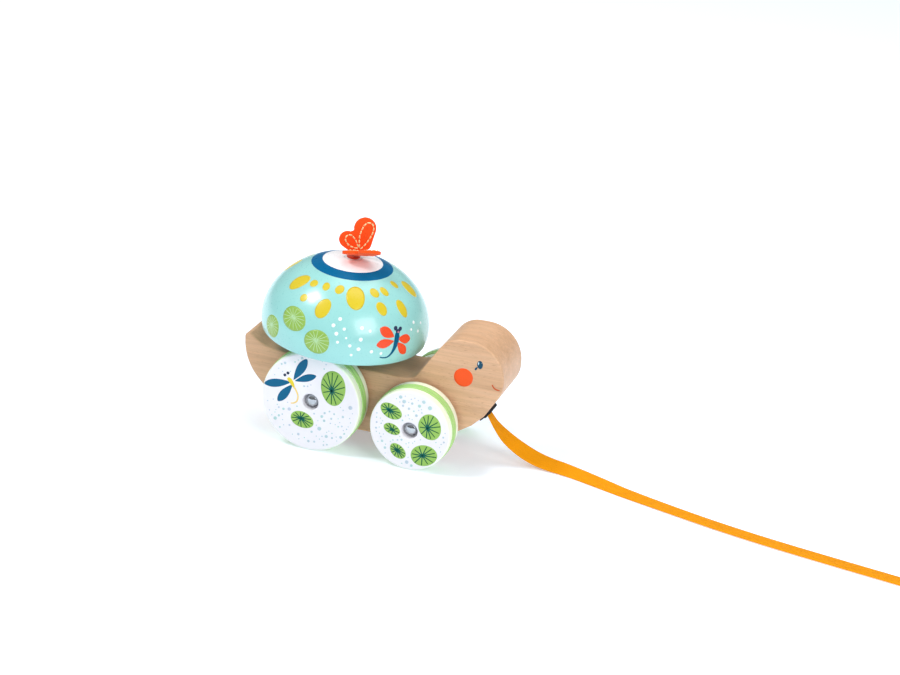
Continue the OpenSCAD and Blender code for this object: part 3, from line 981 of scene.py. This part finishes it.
# White specks: azimuth, height, radius
SPECKS = [(-76, 26.5, 1.1), (-80, 22.8, 1.1), (-72, 21.7, 0.9), (-77, 18.7, 1.1), (-75.4, 14.1, 0.85),
          (-67, 12.8, 0.95), (-61, 11.2, 1.1), (-65.4, 7.4, 0.8), (-60, 16.8, 1.1), (-52, 9.8, 1.0),
          (-59.5, 23, 1.1), (-53.6, 21.5, 0.9), (-45, 8.5, 0.9), (-14, 22.2, 1.0), (-18.4, 19, 0.8),
          (-10.7, 16.5, 0.9), (-5, 20, 0.8), (-70, 17, 0.6)]
DOME_INKS = {  # colour and shine
    "petals": ((0.67, 0.52, 0.018), 0.3),
    "pads": ((0.28, 0.47, 0.085), 0.3),
    "veins": ((0.43, 0.66, 0.34), 0.3),
    "specks": ((0.93, 0.96, 0.96), 0.4),
    "red_wings": ((0.86, 0.075, 0.02), 0.2),
    "blue_body": ((0.0, 0.10, 0.20), 0.06),
    "dark_head": ((0.03, 0.04, 0.09), 0.12),
    "pink": ((0.75, 0.30, 0.40), 0.3),
}


def decorate_dome(piles, turn):
    """Printed shapes on one half of the dome, turned round its axis by degrees."""
    for azimuth, w, half_w, half_h, tilt in PETALS:
        spot(piles["petals"], dome_patch(azimuth + turn, w), 0, 0, half_w, half_h, tilt, 0.02,
             seed=int(abs(azimuth)))
    for k, (azimuth, w, *shape) in enumerate(PADS):
        patch = dome_patch(azimuth + turn, w)
        lily_pad(piles["pads"], piles["veins"], patch, *shape, (-0.6, 0.9), 15, k + 3, 0.5)
    for azimuth, w, r in SPECKS:
        spot(piles["specks"], dome_patch(azimuth + turn, w), 0, 0, r, r, 0, 0.03, 20, rings=2)
    insect = dome_patch(-33.4 + turn, 14.9)
    insect_wings(piles["red_wings"], insect,
                 ((-1.3, 2.6), (-10.2, 8.2), 6.4), ((-1.6, 0.2), (-13.2, -1.4), 5.4),
                 ((1.2, 1.2), (11.2, -0.8), 5.6), ((0.6, -0.9), (7.9, -9.2), 5.4))
    body = [(1.0, 4.6), (0.7, 2.4), (-0.3, -1.4), (-1.6, -4.6), (-3.2, -7.2), (-5.6, -9.2), (-8.4, -9.4),
            (-10.6, -8.8)]
    stroke(piles["blue_body"], body, (2.6, 3.6, 3.2, 2.2, 1.4, 1.0, 0.85, 0.6), insect, 2)
    for x, y, r in ((0.2, 7.4, 1.35), (3.6, 6.6, 1.25), (1.6, 5.2, 1.6)):
        spot(piles["dark_head"], insect, x, y, r, r, 0, 0.05, 24)
    spot(piles["pink"], insect, 1.9, 4.9, 1.0, 0.8, -20, 0.03, 24, rings=3)


def print_dome():
    blue = lacquer("ring_blue", (0.0, 0.122, 0.285), coat=0, shine=0.06)
    dome_band("dome_blue_ring", 17.8, 24.3, 1.0, 14, blue)
    dome_band("dome_white_disc", 5.2, 17.9, 1.6, 20, lacquer("disc_white", (0.92, 0.92, 0.94), coat=0.2))
    piles = {key: Pile() for key in DOME_INKS}
    for half_turn in (0, 180):
        decorate_dome(piles, half_turn)
    for key, (colour, shine) in DOME_INKS.items():
        look = lacquer("dome_print_" + key, colour, coat=shine, shine=shine)
        piles[key].build("dome_" + key, "shell", look)


# ---------------------------------------------------------------- wheels

WHEELS = [(end, side) for end in ("rear", "front") for side in ("right", "left")]
WHEEL_R = {"rear": 31.0, "front": 25.0}
WHEEL_IN = 21.5  # from the mid plane to a wheel's inner face
WHEEL_OUT = 38.5
RING_IN = 26.9  # the rubber ring's two edges
RING_OUT = 33.1
RECESS = 5.0  # radius and depth of the recess round the cap
AXLE_HOLE_R = 2.58


def wheel_place(end, side):
    """Frame of a wheel: origin on the axle in the mid plane, Z out to its side, Y up."""
    low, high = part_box(f"{end}_axle")
    sign = SIDES[side]
    hub = Vector(((low.x + high.x) / 2, 0, (low.z + high.z) / 2))

    def place(x, y, h):
        return hub + Vector((-sign * x, sign * h, y)) * MM
    return place


def make_wheel(end, side, paint):
    """The turned wooden wheel, with its groove for the ring and its recess for the cap."""
    rim, e = WHEEL_R[end] - 0.4, 1.2
    a, b = WHEEL_IN, WHEEL_OUT
    profile = [(AXLE_HOLE_R, a + 0.3), (AXLE_HOLE_R + 0.3, a), (rim * 0.5, a), (rim - e - 0.3, a)]
    profile += arc(rim - e, a + e, e, -90, 0, 6)
    profile += [(rim, RING_IN - 0.15), (rim - 0.15, RING_IN), (rim - 1, RING_IN), (rim - 1, RING_OUT),
                (rim - 0.15, RING_OUT), (rim, RING_OUT + 0.15)]
    profile += arc(rim - e, b - e, e, 0, 90, 6)
    profile += [(rim - e - 0.2, b), (rim * 0.75, b), (rim * 0.5, b)]
    profile += [(RECESS + out, b - down) for out, down in ((0.5, 0), (0.25, 0.07), (0.05, 0.3), (0, 0.7))]
    profile += [(RECESS, b - RECESS + 0.2), (RECESS - 0.2, b - RECESS), (AXLE_HOLE_R + 0.32, b - RECESS),
                (AXLE_HOLE_R, b - RECESS - 0.3)]
    segments = 192
    wheel = lathe(f"{end}_wheel_{side}_wood", profile, segments, wheel_place(end, side), 40)
    # the rounded edges beside the tread carry the painted reflection of the green ring
    green_reflection_band = [rim - 0.9 <= r and (r >= rim - 0.5 or h <= b - 0.3) for r, h in profile]
    keep_numbers(wheel.data, "rim", np.repeat(green_reflection_band, segments))
    dress(wheel, f"{end}_wheel_{side}", paint, (f"{end}_wheel_{side}",))


def make_tread(end, side, rubber_look):
    """The rubber ring, with a fine groove round its middle."""
    radius = WHEEL_R[end]
    middle = (RING_IN + RING_OUT) / 2
    # half of the section, from the middle out: radius below the tread's and distance from the middle
    half = [(0.42, 0.14), (0.1, 0.3), (0, 0.42), (0, 1.55), (0, 2.6), (0.12, 2.94), (0.45, 3.04), (1.38, 3.04)]
    ring = [(radius - down, middle - out) for down, out in half[::-1]]
    ring += [(radius - down, middle + out) for down, out in half]
    tread = lathe(f"{end}_tread_{side}_rubber", ring, 192, wheel_place(end, side), 50)
    dress(tread, f"{end}_wheel_{side}", rubber_look, (f"{end}_tread_{side}",))


def make_cap(end, side, look):
    """Pressed steel cap with a rolled foot, on the axle's end inside the wheel's recess."""
    base = WHEEL_OUT - RECESS + 0.3
    profile = [(2.52, base), (4.0, base)] + arc(3.95, base + 0.35, 0.35, -80, 80, 6)
    profile += [(4.02, base + 0.8)]
    dome = np.radians((8, 20, 32, 44, 56, 66, 76))
    profile += [(4.02 * math.cos(a), base + 0.9 + 2.5 * math.sin(a)) for a in dome]
    profile += [(0.5, base + 3.4), (0, base + 3.4), (0, base + 2.62), (2.52, base + 2.6)]
    cap = lathe(f"{end}_cap_{side}_steel", profile, 96, wheel_place(end, side), 50)
    dress(cap, "board", look, (f"{end}_cap_{side}",))


def wheel_face(end, side, du=0.0, dv=0.0):
    """Maps (u, v) in mm round a place on a wheel's outer face, v up, to a point and its normal."""
    place = wheel_place(end, side)
    normal = Vector((0, SIDES[side], 0))
    return lambda u, v: (place(du + u, dv + v, WHEEL_OUT), normal)


# Leaves on the wheels: place, half width, half height, tilt, where the veins meet, how many veins
LEAVES = {
    "rear": [(13.9, 11.5, 7.7, 10.9, 7, (-0.9, -1.9), 13), (-4.6, -12.1, 7.2, 5.2, -14, (-0.9, 0.8), 13)],
    "front": [(-11.8, 10.2, 6.9, 4.6, -24, (-1.3, 0.5), 12), (-10.7, -0.9, 5.1, 3.4, -18, (0.5, -0.5), 9),
              (12.3, 4.7, 6.8, 8.2, 6, (-1.4, -0.8), 12), (-6.2, -14.1, 5.5, 4.0, -34, (-0.4, 0.6), 12),
              (9.8, -13.8, 8.4, 6.4, 22, (-0.9, -0.2), 12)],
}
# Rounds that cover the dragonfly on the rear wheel, where no dots go: place, radius
DRAGONFLY_ROOM = [(-11, 9, 6.0), (-6, 19.5, 4.6), (-3, 15, 4.6), (-2, 22.5, 4.2), (-20, 8, 5.2), (-26, 7, 4.6),
                  (-16.5, 3, 5.2), (-19, -1, 3.6), (-8.5, 0, 2.4), (-10.5, -2.6, 2.2), (-15.5, 15, 2.2),
                  (0.5, 17, 4.0)]
WHEEL_INKS = {  # colour, and the colour that some of it turns to
    "leaf": ((0.30, 0.52, 0.11), None), "veins": ((0.0, 0.11, 0.10), (0.02, 0.12, 0.02)),
    "dots": ((0.52, 0.59, 0.70), (0.42, 0.66, 0.62)), "wings": ((0.0, 0.115, 0.24), None),
    "yellow": ((0.80, 0.62, 0.04), None), "tail": ((0.88, 0.66, 0.24), None), "ink": ((0.03, 0.04, 0.08), None),
}
DOTS = {"rear": (17, 84), "front": (29, 64)}  # seed, number


def draw_dragonfly(piles, surface):
    insect_wings(piles["wings"], surface,
                 ((-11.0, 12.0), (-3.2, 26.6), 5.4), ((-10.2, 11.5), (3.0, 17.2), 4.4),
                 ((-12.4, 10.3), (-29.4, 6.4), 5.2), ((-11.6, 9.0), (-20.4, -3.2), 5.2))
    stroke(piles["yellow"], [(-14.6, 12.7), (-13.2, 11.4), (-11.9, 9.8), (-10.6, 7.6)], (1.6, 2.8, 2.4, 1.2),
           surface, 2)
    stroke(piles["tail"], [(-10.7, 7.8), (-8.9, 5.2), (-7.8, 2.2), (-8.3, -0.8), (-10.0, -2.4), (-12.2, -3.0)],
           (1.3, 1.1, 1.0, 1.0, 0.9, 0.7), surface)
    for x, y in ((-16.6, 14.1), (-14.7, 15.7)):
        spot(piles["ink"], surface, x, y, 0.95, 0.95, 0, 0.03, 20, rings=2)


def scatter_dots(pile, end, surface, taken):
    """Small dots strewn over a wheel's face, clear of each other and of the rounds taken."""
    seed, wanted = DOTS[end]
    dice = random.Random(seed)
    spots = []
    for _ in range(6000):
        if len(spots) == wanted:
            break
        r = 0.36 + 0.95 * dice.random() ** 2.6
        a, reach = 2 * math.pi * dice.random(), (WHEEL_R[end] - 3.0) * math.sqrt(dice.random())
        u, v = reach * math.cos(a), reach * math.sin(a)
        clear = all(math.hypot(u - x, v - y) > room + r for x, y, room in taken)
        if clear and all(math.hypot(u - x, v - y) > gap + r + 0.9 for x, y, gap in spots):
            spots.append((u, v, r))
            spot(pile, surface, u, v, r, r, 0, 0.03, 16, rings=1, mark=dice.random())


def print_wheel(end, side, looks):
    piles = {key: Pile() for key in WHEEL_INKS}
    surface = wheel_face(end, side)
    taken = [(0, 0, 6.6)]
    for k, (u, v, *shape) in enumerate(LEAVES[end]):
        lily_pad(piles["leaf"], piles["veins"], wheel_face(end, side, u, v), *shape, k, 0.9)
        taken.append((u, v, max(shape[:2]) + 0.9))
    if end == "rear":
        draw_dragonfly(piles, surface)
        taken += DRAGONFLY_ROOM
    scatter_dots(piles["dots"], end, surface, taken)
    for key, pile in piles.items():
        if pile.points:
            pile.build(f"{end}_wheel_{side}_{key}", f"{end}_wheel_{side}", looks[key])


# ---------------------------------------------------------------- butterfly

FOLD_Y = 1.6
FOLD_W = 51.0
FOLD_TURN = Matrix.Rotation(math.radians(28), 2)
FOLD_SHIFT = 2.2
FELT_T = 2.0
WING_PAIRS = {"far": (1, 84, 0), "near": (-1, 26, 1.2)}  # side of the fold, lift in degrees, slide along it
SEWN_FACES = {"far": (1, -1), "near": (1,)}
FORE_LOOP = [(0.9, 3), (0.3, 9.3), (1, 13.5), (2.4, 16.8), (4.4, 18.5), (7, 17.9), (8.1, 15.3), (7.3, 11.3),
             (5, 6.8), (2.6, 3.6)]
HIND_LOOP = [(0, 3), (-2.5, 3), (-5.6, 4.4), (-7.8, 7.2), (-7.4, 9.8), (-4.9, 10.5), (-2.2, 8), (-0.5, 4.8)]
# Groups of rounds, each group wrapped to make a lobe of the wings: place, radius
LOBES = (((3.2, 14.8, 6.6), (4.2, 5.2, 3.6), (1.5, 3, 2.8)), ((-6.6, 7.6, 5), (-1.8, 2.2, 3)),
         ((-3.2, 10.8, 2.2), (0, 4, 2.8)))


def wing_place(pair):
    """Maps (s, t, n) in mm, along the fold, away from it and through the felt, to the row frame."""
    sign, lift, slide = WING_PAIRS[pair]
    c, s = math.cos(math.radians(lift)), math.sin(math.radians(lift))

    def place(a, t, n):
        flat = Vector((FOLD_SHIFT + slide + a, sign * (FOLD_Y + t * c - n * s)))
        return on_dome(*(FOLD_TURN @ flat), FOLD_W + t * s + n * c)
    return place


def wing_slab(name):
    """Fore and hind wing as one felt slab, flat, in mm: X along the fold, Y away from it."""
    shape = bmesh.new()
    for lobe in LOBES:
        rounds = []
        for x, y, r in lobe:
            for a in np.linspace(0, 2 * math.pi, 72, endpoint=False):
                for z in (-FELT_T / 2 + 0.1, FELT_T / 2 - 0.1):
                    rounds.append(shape.verts.new((x + r * math.cos(a), y + r * math.sin(a), z)))
        made = bmesh.ops.convex_hull(shape, input=rounds)
        loose = [v for v in made["geom_interior"] if isinstance(v, bmesh.types.BMVert)]
        bmesh.ops.delete(shape, geom=loose, context="VERTS")
    obj = object_from(name, shape)
    merge = obj.modifiers.new("merge", "REMESH")
    merge.mode = "VOXEL"
    merge.voxel_size = 0.28
    relax = obj.modifiers.new("relax", "SMOOTH")
    relax.factor = 0.5
    relax.iterations = 4
    settle(obj)
    return obj


def make_wings(pair, look):
    """One pair of felt wings, with an uneven surface."""
    obj = wing_slab(f"butterfly_{pair}_wings_felt")
    place = wing_place(pair)
    for vertex in obj.data.vertices:
        p = vertex.co.copy()
        broad, fine = noise.noise((p + Vector((0, 0, 9))) / 1.6), noise.noise((p + Vector((5, 0, 0))) / 0.6)
        vertex.co = p + vertex.normal * (0.10 * broad + 0.06 * fine)
    for vertex in obj.data.vertices:
        vertex.co = place(*vertex.co)
    smooth(obj.data)
    face_outwards(obj)
    dress(obj, "shell", look, (f"butterfly_{pair}_wings",))


def loop_stitches(pile, loop, place, face):
    """Dashes of thread along a closed loop on one face of a wing pair."""
    points = [Vector((a, t, 0)) for a, t in loop[-1:] + loop + loop[:2]]
    line = [curve_at(points, 1 + i / 10) for i in range(10 * len(loop) + 1)]
    runs = distances(line)
    count = round(runs[-1] / 2.8)
    normal = (place(0, 0, face) - place(0, 0, 0)).normalized()
    for k in range(count):
        dash = []
        for share in np.linspace(0, 1, 9):
            run = (k + 0.08 + 0.76 * share) / count * runs[-1]
            a, t = [float(np.interp(run, runs, [p[axis] for p in line])) for axis in range(2)]
            hump = math.sin(math.pi * share)
            dash.append(place(a, t, face * (FELT_T / 2 + 0.28 * hump - 0.22 * (1 - hump))))
        tube(pile, dash, 0.42 * MM, 8, normal)


def make_butterfly():
    look = felt((0.97, 0.088, 0.011))
    cotton = thread("cream_cotton", (0.95, 0.74, 0.36))
    stitches = Pile()
    for pair in WING_PAIRS:
        make_wings(pair, look)
        for loop in (FORE_LOOP, HIND_LOOP):
            for face in SEWN_FACES[pair]:
                loop_stitches(stitches, loop, wing_place(pair), face)
    stitches.build("butterfly_stitches", "shell", cotton, "thread")


def make_knot(look):
    """Dark red thread wound round the pin, under the wings; its dark red also stands in for the shade under the
    wings.
    """
    pile = Pile()
    base = dome_height(0)

    def ring_point(r, a, h):
        return on_dome(r * math.cos(a), r * math.sin(a), base + h)

    turns, steps = 8, 48
    line = []
    for i in range(turns * steps + 1):
        share = i / (turns * steps)
        r, rise = 3.85 - 2.7 * share ** 1.3, 0.15 + 0.5 * min(1, 2.5 * share)
        line.append(ring_point(r, 2 * math.pi * i / steps, rise))
    tube(pile, line, 0.22 * MM, 8, DOME_AXIS)
    core = [(0.66, -0.1), (3.5, -0.1), (3.75, 0.15), (3.6, 0.4), (3.2, 0.55), (0.66, 0.62)]
    points = [ring_point(r, 2 * math.pi * k / 32, h) for r, h in core for k in range(32)]
    pile.add(points, sleeve(len(core), 32, loop=True))
    pile.build("butterfly_knot_thread", "shell", look, "thread", ("butterfly_knot",))


# ---------------------------------------------------------------- CAD nodes kept as they are

def dress_kept_nodes():
    steel = metal("bright_steel", (0.62, 0.63, 0.65), turned=True)
    white_nylon = nylon()
    looks = dict.fromkeys(("rear_axle", "front_axle", "pivot_screw", "screw_washer", "butterfly_pin"), steel)
    looks |= {f"{end}_washer_{side}": white_nylon for end, side in WHEELS}
    looks |= {
        "bearing_washer": white_nylon, "pedestal": beech("beech_turned"),
        "shell_plug": lacquer("plug_white", (0.88, 0.89, 0.92)), "chin_bar": black_enamel(),
        "chin_screws": metal("black_screws", (0.10, 0.10, 0.11), (0.3, 0.45)),
    }
    for node, look in looks.items():
        mesh = frame["nodes"][node].data
        mesh.materials.clear()
        mesh.materials.append(look)
    for node in ("chin_bar", "pedestal"):
        round_edges(frame["nodes"][node], 0.25, 3, 50)


# ---------------------------------------------------------------- putting it together

make_camera()
make_stage()

cloth = webbing()
strap, strap_end, strap_line = make_strap(cloth)
end_seams = make_end_seams(strap_line, thread("strap_thread", (0.95, 0.42, 0.03)))
folded_end = make_chin(cloth)
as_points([p * MM for p in strap_line[::4]] + [strap_line[-1] * MM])

make_board(beech())
make_faces()
make_dome(lacquer("dome_turquoise", (0.305, 0.66, 0.63), drift=0.04))
print_dome()

wheel_white, green_rubber = wheel_paint(), rubber()
cap_steel = metal("cap_steel", (0.53, 0.56, 0.59), (0.09, 0.18))
wheel_looks = {key: lacquer("wheel_print_" + key, colour, second, (0.34, 0.44), coat=0.05, shine=0.15)
               for key, (colour, second) in WHEEL_INKS.items()}
for end, side in WHEELS:
    make_wheel(end, side, wheel_white)
    make_tread(end, side, green_rubber)
    make_cap(end, side, cap_steel)
    print_wheel(end, side, wheel_looks)

make_butterfly()
# darker than the felt: the thread's own red with painted shade from the wings over it
make_knot(thread("red_thread_and_painted_shade", (0.60, 0.05, 0.012)))
dress_kept_nodes()
